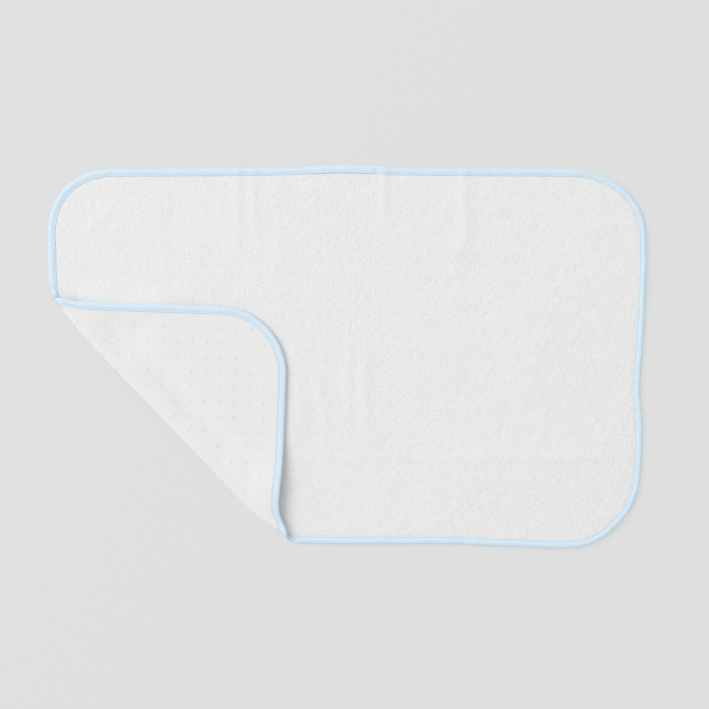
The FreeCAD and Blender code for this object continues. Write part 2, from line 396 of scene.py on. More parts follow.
def drape(x, y, height):
    """Where a place (x, y) of the flat cloth, at a height in its thickness, comes to rest.

    past is its distance beyond the fold's line. Before the roll the cloth lies. On the roll it is at
    (-start + depth * sin(angle), FOLD_HEIGHT - (FOLD_HEIGHT - height) * cos(angle)), with depth less
    for the inner layers. Beyond the roll it runs back over the mat: first from the roll's end, which
    is drawn in at the fold's two ends, and within RUN_OUT as far from the fold as it was cut."""
    x, y, height = np.broadcast_arrays(np.asarray(x, float), y, height)
    past, along = to_fold(x, y)
    start = roll_start(along)
    angle = roll_angle(past, along)
    inner = 1 + (INNER_SHARE - 1) * np.clip(height / BINDING_TOP, 0, 1)
    depth = inner * (ROLL_DEPTH + ROLL_DEPTH_GROWS * fold_ends(along))
    before = np.minimum(past + start, 0)
    beyond = np.maximum(past - BEND, 0)
    drawn_in = (start - BEND) * smooth(beyond, 0, RUN_OUT)
    across = -start + before + depth * np.sin(angle) - beyond + drawn_in
    rest_x, rest_y = from_fold(across, along)
    rise = lie(x, y) * (1 - smooth(past, -WAVES_FADE, -start - WAVES_STOP))
    outer = 2 * FOLD_HEIGHT + beyond * math.sin(FOLD_TURN) + corner_shape(past, along)
    lift = np.where(beyond > 0, settle(outer, beyond, x, y, rest_x, rest_y) - 2 * FOLD_HEIGHT, 0)
    lift = lift * smooth(beyond, 0, LIFT_REACH)
    up = FOLD_HEIGHT - (FOLD_HEIGHT - height) * np.cos(angle) + rise + lift
    dx, dy = push(rest_x, rest_y)
    return np.stack([rest_x + dx, rest_y + dy, up], -1)


print("the turned corner's tip comes down to", drape(-0.3737, -0.2236, BINDING_TOP)[2].round(4), "m")

# %% [markdown]
# ## From arrays to meshes
#
# A layer of cloth is a closed shell: an upper and a lower sheet on the same grid, joined round
# their four borders. A strip of binding is a closed profile carried along the rim, capped at both
# ends. Normals are worked out once over the whole run and then given to each piece, so the shading
# runs on without a line where one piece ends and the next begins.

# %% Mesh helpers


def grid_faces(rows, columns, offset=0, flip=False, wrap=False):
    """The quads of a rows x columns grid of points, as indices. wrap joins the last column to the
    first."""
    index = np.arange(rows * columns).reshape(rows, columns) + offset
    if wrap:
        index = np.concatenate([index, index[:, :1]], 1)
    a, b = index[:-1, :-1], index[1:, :-1]
    c, d = index[1:, 1:], index[:-1, 1:]
    quads = np.stack([a, b, c, d], -1).reshape(-1, 4)
    return quads[:, ::-1] if flip else quads


def grid_normals(points, wrap=False):
    """Unit normals of a grid of points: the cross product of its slopes along rows and columns."""
    along_rows = np.gradient(points, axis=0)
    if wrap:
        along_columns = (np.roll(points, -1, 1) - np.roll(points, 1, 1)) / 2
    else:
        along_columns = np.gradient(points, axis=1)
    normal = np.cross(along_rows, along_columns)
    return normal / np.maximum(np.linalg.norm(normal, axis=-1, keepdims=True), 1e-12)


def put(name, data):
    """A new object in the scene."""
    thing = bpy.data.objects.new(name, data)
    bpy.context.scene.collection.objects.link(thing)
    return thing


def make_mesh(name, points, faces, flat, normals=None):
    """A mesh object with smooth faces, a UV map that holds each point's flat place in metres, and
    the normals given."""
    mesh = bpy.data.meshes.new(name)
    mesh.from_pydata(points.reshape(-1, 3), [], faces)
    mesh.polygons.foreach_set("use_smooth", np.ones(len(mesh.polygons), bool))
    corners = np.zeros(len(mesh.loops), np.int32)
    mesh.loops.foreach_get("vertex_index", corners)
    layer = mesh.uv_layers.new(name="flat_cloth")
    layer.data.foreach_set("uv", flat.reshape(-1, 2)[corners].astype(np.float32).ravel())
    mesh.update()
    if normals is not None:
        mesh.normals_split_custom_set_from_vertices(normals.reshape(-1, 3).astype(np.float32))
    return put(name, mesh)


def upright(normals):
    """Normals turned straight up or down. The bend's inner side is hidden while the corner is
    turned over; these suit it once the corner is opened and it lies flat."""
    return np.sign(normals[..., 2:]) * np.array([0.0, 0.0, 1.0])


def shell(name, upper, lower, flat, normals_up, normals_down):
    """A closed sheet of cloth from two grids of points."""
    rows, columns = upper.shape[:2]
    count = rows * columns
    index = np.arange(count).reshape(rows, columns)
    border = np.concatenate([index[:, 0], index[-1, 1:], index[-2::-1, -1], index[0, -2:0:-1]])
    after = np.roll(border, -1)
    walls = np.stack([border, border + count, after + count, after], -1)
    faces = np.concatenate([
        grid_faces(rows, columns),
        grid_faces(rows, columns, offset=count, flip=True),
        walls,
    ]).tolist()
    points = np.concatenate([upper.reshape(-1, 3), lower.reshape(-1, 3)])
    normals = np.concatenate([normals_up.reshape(-1, 3), normals_down.reshape(-1, 3)])
    return make_mesh(name, points, faces, np.concatenate([flat, flat]).reshape(-1, 2), normals)


# %% [markdown]
# ## Grids on the flat cloth
#
# The left half and the turned corner share one grid whose rows run along the fold, so that a row
# never crosses the roll at a slant. Each row ends where its line meets the cloth's outline. There
# is no row in the middle of the roll, because those places lie at the hinge itself and could not
# swing out flat when the corner is opened. The right half's rows run across the mat, and are close
# together at the crease, where the cloth turns round when the mat is folded in half.

# %% The fold-aligned grid
ROLL_GAP = math.radians(62)
ROLL_ROWS = 9
ROW_STEP = 2.9 * MM
LEFT_COLUMNS = 176
OUTLINE_SAMPLES = 1800
MEETING_ROUNDS = 12
BOW_REACH = 70 * MM


def roll_row(angle):
    """The row that has this angle in the middle of the fold."""
    return BEND * (2 * angle / FOLD_TURN - 1)


def in_gap(past, along, clear=0.0):
    """Whether a place is in the middle of the roll, or within a distance of it."""
    angle = roll_angle(past - np.sign(past) * clear, along)
    return (angle > ROLL_GAP + 1e-6) & (angle < FOLD_TURN - ROLL_GAP - 1e-6)


def left_outline(inset):
    """The cloth's outline in fold places, as two chains from its far corner to the corner's tip."""
    walked = np.linspace(0, LEFT_RIM, OUTLINE_SAMPLES)
    point, _, inward = rim(walked)
    x, y = (point + inset * inward).T
    past, along = to_fold(x, y)
    tip = int(np.argmax(past))
    near = (past[: tip + 1], along[: tip + 1])
    far = (
        np.concatenate([past[:1], past[tip:][::-1]]),
        np.concatenate([along[:1], along[tip:][::-1]]),
    )
    return near, far


def bowed(row, along):
    """How far past the fold's line a row's place is. A row is given by its place in the middle of
    the fold. Towards the fold's ends the rows before the fold bow outwards, so that each row on the
    roll keeps its angle, and less so further off."""
    start = roll_start(along)
    rising = np.clip(1 + row / BEND, 0, 1) ** (1 / rise_power(along))
    on_roll = start * (rising - 1)
    lying = row - (start - BEND) * (1 - smooth(-row, BEND, BEND + BOW_REACH))
    return np.where(row > 0, row, np.where(row > -BEND, on_roll, lying))


def left_grid(inset, step=ROW_STEP, columns=LEFT_COLUMNS):
    """Flat places x, y of the grid, and the number of the last row before the roll's middle. A few
    rounds find where each bowed row meets the outline."""
    near, far = left_outline(inset)
    low, high = near[0][0], near[0][-1]
    lying = np.linspace(low, -BEND, int((-BEND - low) / step))[:-1]
    rolling = roll_row(np.linspace(0, ROLL_GAP, ROLL_ROWS))
    rolled = roll_row(np.linspace(FOLD_TURN - ROLL_GAP, FOLD_TURN, ROLL_ROWS))
    turned = np.linspace(BEND, high, int((high - BEND) / step))[1:]
    row = np.concatenate([lying, rolling, rolled, turned])[:, None]
    start = np.interp(row, *near)
    end = np.interp(row, *far)
    for _ in range(MEETING_ROUNDS):
        start = np.interp(bowed(row, start), *near)
        end = np.interp(bowed(row, end), *far)
    share = np.linspace(0, 1, columns)[None, :]
    along = start + (end - start) * share
    x, y = from_fold(bowed(row, along), along)
    return x, y, len(lying) + len(rolling) - 1


def right_grid(inset, step=2.7 * MM, columns=180):
    """Flat places x, y of the right half's grid, with its rows close together at the crease."""
    turning = np.linspace(SEAM_X, CREASE_X + CREASE_HALF, 15)
    last = HALF_LENGTH - inset
    lying = np.linspace(turning[-1], last, int((last - turning[-1]) / step))[1:]
    x = np.concatenate([turning, lying])[:, None]
    radius = CORNER_RADIUS - inset
    past = np.clip(x - CORNER_X, 0, radius)
    reach = CORNER_Y + np.sqrt(radius**2 - past**2)
    share = np.linspace(-1, 1, columns)[None, :]
    return np.broadcast_to(x, (len(x), columns)), reach * share


# %% [markdown]
# ## The four cloths
#
# Terry towelling is looped, so its top is never quite smooth: the pile stands in small clumps, and
# next to the seam it is pulled down. Those are in the mesh. The single loops are too small for a
# mesh of this size, and are left to the material's bump.

# %% Build the cloths
BODIES = {"left": "left_half", "corner": "corner_flap"}


def pile(x, y):
    """The height of the terry's pile above or below its mean: clumps in two sizes, and pulled down
    beside the binding."""
    clumps = 0.07 * ripples(x, y, 11 * MM, 31) + 0.06 * ripples(x, y, 6.5 * MM, 32)
    rows = 0.05 * ripples(x, 0.3 * y, 8 * MM, 33)
    beside_seam = bump(edge_distance(x, y) - BINDING_WIDTH, 1.8 * MM)
    return (clumps + rows - 0.45 * beside_seam) * MM


def attach(piece, part):
    """Makes a piece of the left half or of the turned corner move with its body; a piece of the right half
    or of the bend is only baked where it lies.
    """
    if part == "right":
        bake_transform(piece)
    elif part == "bend":
        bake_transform(piece)
    else:
        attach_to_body(piece, BODIES[part])


def cloth(layer, name, step, columns, relief=None):
    """The four pieces of one layer: left half, bend, turned corner and right half."""
    low, high = LEVELS[layer]
    x, y, gap = left_grid(CLOTH_INSET, step, columns)
    cuts = {"left": slice(0, gap + 1), "bend": slice(gap, gap + 2), "corner": slice(gap + 1, None)}
    runs = [(x, y, cuts), (*right_grid(CLOTH_INSET, step, columns), {"right": slice(None)})]
    made = {}
    for x, y, parts in runs:
        upper = drape(x, y, high + (relief(x, y) if relief else 0))
        lower = drape(x, y, low)
        up, down = grid_normals(upper), -grid_normals(lower)
        flat = np.stack([x, y], -1)
        for part, rows in parts.items():
            inner = upright(up[rows]) if part == "bend" else up[rows]
            piece = shell(f"{name}_{part}", upper[rows], lower[rows], flat[rows], inner, down[rows])
            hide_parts(f"{layer}_{part}")
            made[part] = piece
    return made


cloths = {
    "terry_top": cloth("terry_top", "looped_terry", ROW_STEP, LEFT_COLUMNS, pile),
    "absorbent_core": cloth("absorbent_core", "felt_sheet", 6 * MM, 90),
    "waterproof_film": cloth("waterproof_film", "film_sheet", 6 * MM, 90),
    "backing_cloth": cloth("backing_cloth", "knit_backing", 3.2 * MM, 160),
}
for layer, pieces in cloths.items():
    print(layer, {part: len(piece.data.polygons) for part, piece in pieces.items()})

# %% [markdown]
# ## The binding
#
# A bias tape folded over the cloths' edges: two plump wings and a round outer wall. It is one
# closed profile, carried along the rim. Near the fold its rows lean over until they run along the
# fold, for the same reason as the cloths' rows do. The seam pulls small dimples into it.

# %% The tape's profile
STITCH_PITCH = 3.0 * MM
SEAM_INSET = 8.3 * MM
WING_EDGE = BINDING_WIDTH + 0.2 * MM
UPPER_POINTS = 9
WING_PLACES = np.array([0, 0.05, 0.13, 0.21, 0.28, 0.36, 0.5, 0.72, 1.0])
WING_DROPS = np.array([0.62, 0.42, 0.32, 0.46, 0.80, 0.40, 0.02, -0.42, -0.10]) * MM


def tape_profile():
    """The profile as distance in from the rim and height: out along the upper wing, round the wall
    in a half circle, in along the lower wing, and back inside the tape."""
    radius = BINDING_TOP / 2
    along_wing = WING_EDGE - (WING_EDGE - radius) * WING_PLACES
    upper = np.stack([along_wing, BINDING_TOP - WING_DROPS], -1)
    turn = np.linspace(0, math.pi, 11)[1:-1]
    wall = np.stack([radius - radius * np.sin(turn), radius + radius * np.cos(turn)], -1)
    lower = np.stack([along_wing, 0.75 * (WING_DROPS - WING_DROPS.min())], -1)[::-1]
    inner = np.array([
        (WING_EDGE + 0.15 * MM, 0.5 * TAPE_THICKNESS),
        (WING_EDGE, TAPE_THICKNESS),
        (CLOTH_INSET + 0.5 * MM, TAPE_THICKNESS),
        (CLOTH_INSET - 0.1 * MM, BINDING_TOP / 2),
        (CLOTH_INSET + 0.5 * MM, TERRY_TOP),
        (WING_EDGE, TERRY_TOP),
        (WING_EDGE + 0.15 * MM, TERRY_TOP + 0.15 * MM),
    ])
    return np.concatenate([upper, wall, lower, inner])


PROFILE = tape_profile()
OUTER_POINTS = 3 * UPPER_POINTS


def tape_relief(walked, inset):
    """What the sewing does to the tape's outer surface: the crown between wall and seam swells and
    sinks slowly along the tape, with a puckered pull towards each stitch."""
    crown = bump(inset - 4.4 * MM, 2.2 * MM)
    slow = 0.16 * ripples(walked, 0 * walked, 34 * MM, 41)
    slow = slow + 0.11 * ripples(walked, 0 * walked, 9 * MM, 42)
    seam = bump(inset - SEAM_INSET, 1.1 * MM)
    dimple = 0.5 - 0.5 * np.cos(2 * math.pi * walked / STITCH_PITCH)
    upper = np.arange(inset.shape[-1]) < UPPER_POINTS
    return upper * MM * (crown * slow - 0.12 * seam * dimple)


def lean(point, ahead, inward, inset):
    """How far each place moves along the rim so that its row runs along the fold: minus the inset
    times the ratio of the inward and ahead parts of the way out of the fold, within reach of it."""
    past, _ = to_fold(point[..., 0], point[..., 1])
    near = 1 - smooth(np.abs(past), 20 * MM, 55 * MM)
    ahead_part = ahead @ OUT
    safe = np.where(np.abs(ahead_part) > 0.3, ahead_part, 1)
    return -inset * (inward @ OUT) / safe * near


def rim_in_fold(walked):
    """The rim at each length walked, in fold places."""
    point, _, _ = rim(walked)
    return to_fold(point[:, 0], point[:, 1])


def rim_rows(start, stop, step):
    """Lengths walked between two ends, without the places in the middle of the roll."""
    walked = np.linspace(start, stop, int((stop - start) / step))
    return walked[~in_gap(*rim_in_fold(walked))]


def on_rim(walked, inset, height):
    """Points given by length walked, inset and height on the flat cloth, draped."""
    point, ahead, inward = rim(walked)
    slide = lean(point, ahead, inward, inset)
    x = point[..., 0] + inset * inward[..., 0] + slide * ahead[..., 0]
    y = point[..., 1] + inset * inward[..., 1] + slide * ahead[..., 1]
    return drape(x, y, height)


# %% Carry the profile along the rim


def spread(profile, count):
    """A profile's insets and heights, repeated for each of count places along the rim."""
    return (np.broadcast_to(column, (count, len(profile))) for column in profile.T)


def strip(walked):
    """The points of the tape's profile carried along the rim, and their flat places."""
    inset, height = spread(PROFILE, len(walked))
    along = np.broadcast_to(walked[:, None], inset.shape)
    points = on_rim(along, inset, height + tape_relief(along, inset))
    return points, np.stack([along, inset + 2 * height], -1)


def tube_pieces(name, points, flat, cuts):
    """Closed, capped pieces of a tube of points. cuts gives each part its runs of rows, as pairs of
    the first row and the last."""
    normals = -grid_normals(points, wrap=True)
    pieces = {}
    for part, runs in cuts.items():
        vertices, faces, flats, shading, offset = [], [], [], [], 0
        for first, last in runs:
            rows = points[first : last + 1]
            count, around = rows.shape[:2]
            faces += grid_faces(count, around, offset=offset, wrap=True, flip=True).tolist()
            faces.append(list(range(offset + around - 1, offset - 1, -1)))
            end = offset + (count - 1) * around
            faces.append(list(range(end, end + around)))
            vertices.append(rows.reshape(-1, 3))
            flats.append(flat[first : last + 1].reshape(-1, 2))
            shades = normals[first : last + 1].copy()
            if part == "bend":
                shades[:, :UPPER_POINTS] = upright(shades[:, :UPPER_POINTS])
            shading.append(shades.reshape(-1, 3))
            offset += count * around
        pieces[part] = make_mesh(
            f"{name}_{part}", np.concatenate(vertices), faces, np.concatenate(flats),
            np.concatenate(shading),
        )
    return pieces


def roll_cuts(walked):
    """Which rows of the left run belong to the left half, to the bend and to the turned corner."""
    past, _ = rim_in_fold(walked)
    turned = np.flatnonzero(past > 0)
    first, last = int(turned[0]), int(turned[-1])
    return {
        "left": [(0, first - 1), (last + 1, len(walked) - 1)],
        "bend": [(first - 1, first), (last, last + 1)],
        "corner": [(first, last)],
    }


TAPE_STEP = 1.5 * MM
left_walk = rim_rows(0, LEFT_RIM, TAPE_STEP)
crease_walk = np.linspace(0, 2 * CREASE_HALF, 15)
plain_start = LEFT_RIM + 2 * CREASE_HALF + TAPE_STEP
plain_stop = FULL_RIM - 2 * CREASE_HALF - TAPE_STEP / 2
right_walk = np.concatenate([
    LEFT_RIM + crease_walk,
    np.arange(plain_start, plain_stop, TAPE_STEP),
    FULL_RIM - crease_walk[::-1],
])
tape = tube_pieces("bias_tape", *strip(left_walk), roll_cuts(left_walk))
tape |= tube_pieces("bias_tape", *strip(right_walk), {"right": [(0, len(right_walk) - 1)]})
for part, piece in tape.items():
    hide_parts(f"binding_{part}")
print("tape", {part: len(piece.data.polygons) for part, piece in tape.items()})

# %% The lapped end of the tape
LAP_LOW, LAP_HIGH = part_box("binding_overlap")
LAP_SAMPLES = 60
LAP_SLANT = 0.35
LAP_OUTSIDE = 0.75 * MM
LAP_INSIDE = 0.02 * MM


def lap_profile():
    """The part of the tape's profile that the lapped end covers, and the same pushed outwards by
    the tape's own thickness: along the upper wing, round the wall and a little way underneath."""
    radius = BINDING_TOP / 2
    inner = PROFILE[:OUTER_POINTS]
    middle = np.array([radius, radius])
    out = np.where(inner[:, :1] > radius, [0, 1.0], (inner - middle) / radius)
    out = np.where((inner[:, :1] > radius) & (inner[:, 1:] < radius), [0, 0.05], out)
    return inner, out


def lap_strip():
    """The lapped end: a second thickness of tape over the first, fading in at its slanted ends."""
    start = SEAM_X - LAP_HIGH.x
    stop = SEAM_X - LAP_LOW.x
    walked = np.linspace(start, stop, LAP_SAMPLES)[:, None]
    inner, out = lap_profile()
    inset, height = spread(inner, LAP_SAMPLES)
    slant = walked + LAP_SLANT * (inset - WING_EDGE / 2)
    raised = height + tape_relief(slant, inset)
    sheets = []
    for thickness in (LAP_OUTSIDE, LAP_INSIDE):
        ends = smooth(walked, start - 0.1 * MM, start + 1.2 * MM)
        ends = ends * (1 - smooth(walked, stop - 1.2 * MM, stop + 0.1 * MM))
        grown = thickness * (0.35 + 0.65 * ends)
        place = inset + grown * out[:, 0]
        sheets.append(on_rim(slant, place, raised + grown * out[:, 1]))
    flat = np.stack([slant, inset + 2 * height], -1)
    outer_sheet, inner_sheet = sheets
    normals = -grid_normals(outer_sheet)
    return shell(
        "lapped_tape_end", outer_sheet[:, ::-1], inner_sheet[:, ::-1], flat[:, ::-1],
        normals[:, ::-1], -normals[:, ::-1],
    )


lap = lap_strip()
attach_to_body(lap, "left_half")
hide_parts("binding_overlap")

# %% [markdown]
# ## The seam
#
# A lock stitch shows as one short thread after another on each side. Each stitch is a small capsule
# of five rings, laid in the tape's groove. They are worked out all at once, as one array.

# %% Stitches
RING_PLACES = np.array([-1.0, -0.72, 0.0, 0.72, 1.0])
RING_SIZES = np.array([0.25, 0.85, 1.0, 0.85, 0.25])
SIDES = 6
RINGS = len(RING_PLACES)


def ring_faces(count, sides, flip):
    """The faces of count separate stacks of rings, each with its two ends closed."""
    single = grid_faces(RINGS, sides, wrap=True).tolist()
    each = RINGS * sides
    single += [list(range(sides)), list(range(each - 1, each - sides - 1, -1))]
    if flip:
        single = [face[::-1] for face in single]
    return [[i + begun for i in face] for begun in range(0, count * each, each) for face in single]


def stitches(name, walked, height, facing):
    """One capsule for each length walked: rings of six points round the stitch's line, closed at
    both ends. facing is 1 on the upper side and -1 underneath."""
    half_length = 0.40 * STITCH_PITCH
    thick = 0.32 * MM
    turn = np.arange(SIDES) * 2 * math.pi / SIDES
    along = walked[:, None, None] + half_length * RING_PLACES[None, :, None] + 0 * turn
    arch = 0.14 * MM * (1 - RING_PLACES**2)[None, :, None]
    inset = SEAM_INSET + thick * RING_SIZES[None, :, None] * np.cos(turn) + 0 * along
    swell = 0.75 * thick * RING_SIZES[None, :, None] * np.sin(turn)
    points = on_rim(along, inset, height + facing * (arch + swell) + 0 * along)
    faces = ring_faces(len(walked), SIDES, flip=facing > 0)
    return make_mesh(name, points, faces, np.stack([along, inset], -1))


def seam_places(start, stop):
    """The middles of the stitches between two lengths walked, clear of the roll's middle."""
    numbers = np.arange(math.ceil(start / STITCH_PITCH), int(stop / STITCH_PITCH))
    walked = (numbers + 0.5) * STITCH_PITCH
    return walked[~in_gap(*rim_in_fold(walked), clear=STITCH_PITCH / 2)]


threads = []
stitch_count = 0
for thread, height, facing in (
    ("needle_thread", BINDING_TOP - 0.76 * MM, 1),
    ("bobbin_thread", 0.84 * MM, -1),
):
    walked = seam_places(STITCH_PITCH, LEFT_RIM - STITCH_PITCH)
    past, _ = rim_in_fold(walked)
    groups = {
        "left": walked[past < 0],
        "corner": walked[past > 0],
        "right": seam_places(LEFT_RIM + STITCH_PITCH, FULL_RIM - STITCH_PITCH),
    }
    for part, places in groups.items():
        piece = stitches(f"{thread}_stitches_{part}", places, height, facing)
        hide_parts(f"{thread}_{part}")
        threads.append((part, piece))
        stitch_count += len(places)
print("stitches", stitch_count)

# %% [markdown]
# ## The grip dots
#
# Soft rubber, printed through a screen, so each dot is a low dome with a rounded rim.

# %% Dots
DOT_RADIUS = 2.5 * MM
DOT_PITCH = 19.5 * MM
DOT_PHASE = (-0.6 * MM, -5.1 * MM)
DOT_MARGIN = 13 * MM
DOME_RINGS = np.array([0.0, 0.5, 0.84, 1.0, 1.03])
DOME_HEIGHTS = np.array([0.30, 0.28, 0.20, 0.07, -0.10])
DOT_SIDES = 12


def dot_places():
    """The grid of dots: the places far enough inside the rim, and not in the roll's middle."""
    columns = DOT_PHASE[0] + DOT_PITCH * np.arange(-21, 22)
    rows = DOT_PHASE[1] + DOT_PITCH * np.arange(-13, 14)
    x, y = (grid.ravel() for grid in np.meshgrid(columns, rows))
    past, along = to_fold(x, y)
    kept = (edge_distance(x, y) >= DOT_MARGIN) & ~in_gap(past, along, clear=DOT_RADIUS)
    return x[kept], y[kept], past[kept]


def dots(name, x, y):
    """Domes: rings of points round each middle, whose heights fall to just inside the backing."""
    turn = np.arange(DOT_SIDES) * 2 * math.pi / DOT_SIDES
    ring = np.maximum(DOME_RINGS, 0.01)[:, None] * DOT_RADIUS
    at_x = x[:, None, None] + ring * np.cos(turn)
    at_y = y[:, None, None] + ring * np.sin(turn)
    height = DOT_HEIGHT * (1 - DOME_HEIGHTS)[None, :, None] + 0 * at_x
    points = drape(at_x, at_y, height)
    faces = ring_faces(len(x), DOT_SIDES, flip=True)
    return make_mesh(name, points, faces, np.stack([at_x, at_y], -1))


dot_x, dot_y, dot_past = dot_places()
dot_groups = {
    "left": (dot_past < 0) & (dot_x < CREASE_X),
    "corner": dot_past > 0,
    "right": dot_x > CREASE_X,
}
dot_pieces = {}
for part, chosen in dot_groups.items():
    dot_pieces[part] = dots(f"rubber_dots_{part}", dot_x[chosen], dot_y[chosen])
    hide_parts(f"grip_dots_{part}")
print("dots", {part: int(chosen.sum()) for part, chosen in dot_groups.items()})

# %% [markdown]
# ## Materials
#
# All are woven, knitted or looped, so their patterns follow the cloth and read the flat places in
# the UV map, in metres: a scale of 600 is then 600 features in a metre.

# %% Material helpers


def set_sockets(node, **values):
    """Sets a node's plain numbers, each by its socket's name."""
    for socket, value in values.items():
        node.inputs[socket.replace("_", " ")].default_value = value


def new_material(name, color, roughness, sheen=0.0, sheen_roughness=0.5):
    """A material and its Principled shader, whose plain numbers are set on its own sockets."""
    material = bpy.data.materials.new(name)
    material.use_nodes = True
    shader = material.node_tree.nodes["Principled BSDF"]
    set_sockets(
        shader, Base_Color=(*color, 1), Roughness=roughness, Specular_IOR_Level=0.25,
        Sheen_Weight=sheen, Sheen_Roughness=sheen_roughness,
    )
    return material, shader


def add(material, kind, **inputs):
    """A node of that kind, with its sockets or settings given by name."""
    node = material.node_tree.nodes.new(kind)
    for key, value in inputs.items():
        if hasattr(node, key):
            setattr(node, key, value)
        else:
            set_sockets(node, **{key: value})
    return node


def wire(source, output, target, socket):
    source.id_data.links.new(source.outputs[output], target.inputs[socket])


def flat_places(material, scale=(1.0, 1.0, 1.0), turn=0.0):
    """The flat cloth's places, stretched and turned by a Mapping node."""
    places = add(material, "ShaderNodeUVMap", uv_map="flat_cloth")
    mapping = add(material, "ShaderNodeMapping", Scale=scale, Rotation=(0, 0, turn))
    wire(places, "UV", mapping, "Vector")
    return mapping


def texture(material, places, kind, **inputs):
    """A texture node that reads those places."""
    node = add(material, f"ShaderNodeTex{kind}", **inputs)
    wire(places, "Vector", node, "Vector")
    return node


def color_ramp(material, source, output, stops):
    """A ramp from a value to colors, given as (position, color) stops."""
    ramp = add(material, "ShaderNodeValToRGB")
    elements = ramp.color_ramp.elements
    while len(elements) < len(stops):
        elements.new(0.5)
    for element, (position, color) in zip(elements, stops):
        element.position = position
        element.color = (*color, 1)
    wire(source, output, ramp, "Fac")
    return ramp


def bumped(material, source, output, distance, strength=1.0, before=None):
    """A Bump node fed by a pattern, after another one if given."""
    node = add(material, "ShaderNodeBump", Distance=distance, Strength=strength)
    wire(source, output, node, "Height")
    if before:
        wire(before, "Normal", node, "Normal")
    return node


def dressed(material, shader, color, relief):
    """The material, once a ramp gives its color and a bump its normal."""
    wire(color, "Color", shader, "Base Color")
    wire(relief, "Normal", shader, "Normal")
    return material


# %% Terry towelling
TERRY_LIGHT = (0.885, 0.885, 0.883)
TERRY_SHADE = (0.790, 0.790, 0.788)


def terry_material():
    """Loops about a millimetre and a half across, in wandering clumps: a cell pattern for the
    loops, pushed about by noise, and slightly darker between them."""
    material, shader = new_material("white_terry", TERRY_LIGHT, 0.95, sheen=0.35, sheen_roughness=0.6)
    places = flat_places(material)
    stir = texture(material, places, "Noise", Scale=420.0, Detail=2.0)
    stirred = add(material, "ShaderNodeVectorMath", operation="MULTIPLY_ADD")
    stirred.inputs[1].default_value = (0.0011, 0.0011, 0.0)
    wire(stir, "Color", stirred, 0)
    wire(places, "Vector", stirred, 2)
    loops = texture(material, stirred, "Voronoi", Scale=640.0)
    clumps = texture(material, places, "Noise", Scale=190.0, Detail=3.0, Roughness=0.6)
    between = color_ramp(material, loops, "Distance", [(0.15, TERRY_LIGHT), (0.75, TERRY_SHADE)])
    inverted = add(material, "ShaderNodeMath", operation="SUBTRACT")
    inverted.inputs[0].default_value = 1.0
    wire(loops, "Distance", inverted, 1)
    fine = bumped(material, inverted, "Value", 0.0006, 0.55)
    coarse = bumped(material, clumps, "Fac", 0.0016, 0.45, before=fine)
    return dressed(material, shader, between, coarse)


# %% Knit, felt, film
KNIT_LIGHT = (0.890, 0.888, 0.886)
KNIT_SHADE = (0.810, 0.808, 0.806)


def knit_material():
    """A fine knit: narrow ribs along the mat crossed by finer courses, with a little noise."""
    material, shader = new_material("white_backing_knit", KNIT_LIGHT, 0.85, sheen=0.15)
    places = flat_places(material)
    ribs = texture(material, places, "Wave", Scale=310.0, Distortion=0.6, bands_direction="Y")
    courses = texture(material, places, "Wave", Scale=420.0, Distortion=0.8, bands_direction="X")
    mixed = add(material, "ShaderNodeMath", operation="MULTIPLY")
    wire(ribs, "Fac", mixed, 0)
    wire(courses, "Fac", mixed, 1)
    color = color_ramp(material, mixed, "Value", [(0.0, KNIT_SHADE), (0.8, KNIT_LIGHT)])
    slubs = texture(material, places, "Noise", Scale=240.0, Detail=3.0)
    fine = bumped(material, mixed, "Value", 0.0002, 0.5)
    coarse = bumped(material, slubs, "Fac", 0.0006, 0.35, before=fine)
    return dressed(material, shader, color, coarse)


def felt_material():
    """Needled felt: tangled fibres, from stretched noise at two slants."""
    material, shader = new_material("white_felt", (0.80, 0.80, 0.78), 1.0, sheen=0.2)
    places = flat_places(material, (1, 0.3, 1), 0.7)
    fibres = texture(material, places, "Noise", Scale=900.0, Detail=4.0, Distortion=1.5)
    color = color_ramp(material, fibres, "Fac", [(0.3, (0.70, 0.70, 0.68)), (0.7, (0.82, 0.82, 0.80))])
    return dressed(material, shader, color, bumped(material, fibres, "Fac", 0.0004, 0.6))


def film_material():
    """A soft plastic film: milky, slightly glossy and faintly wrinkled."""
    material, shader = new_material("waterproof_film", (0.78, 0.80, 0.81), 0.35)
    wrinkles = texture(material, flat_places(material), "Noise", Scale=120.0, Detail=2.0)
    rough = add(material, "ShaderNodeMapRange", To_Min=0.28, To_Max=0.48)
    wire(wrinkles, "Fac", rough, "Value")
    wire(rough, "Result", shader, "Roughness")
    wire(bumped(material, wrinkles, "Fac", 0.0005, 0.3), "Normal", shader, "Normal")
    return material


# %% Tape, thread and rubber
TAPE_LIGHT = (0.740, 0.870, 0.965)
TAPE_SHADE = (0.640, 0.795, 0.925)


def tape_material():
    """Cotton cut on the slant: a plain weave whose threads run at 45 degrees to the tape."""
    material, shader = new_material("pale_blue_tape", TAPE_LIGHT, 0.8, sheen=0.25)
    places = flat_places(material, turn=math.pi / 4)
    warp = texture(material, places, "Wave", Scale=650.0, Distortion=0.4, bands_direction="X")
    weft = texture(material, places, "Wave", Scale=650.0, Distortion=0.4, bands_direction="Y")
    weave = add(material, "ShaderNodeMath", operation="MAXIMUM")
    wire(warp, "Fac", weave, 0)
    wire(weft, "Fac", weave, 1)
    color = color_ramp(material, weave, "Value", [(0.3, TAPE_SHADE), (0.95, TAPE_LIGHT)])
    slubs = texture(material, flat_places(material), "Noise", Scale=300.0, Detail=2.0)
    fine = bumped(material, weave, "Value", 0.00015, 0.6)
    return dressed(material, shader, color, bumped(material, slubs, "Fac", 0.0004, 0.3, before=fine))


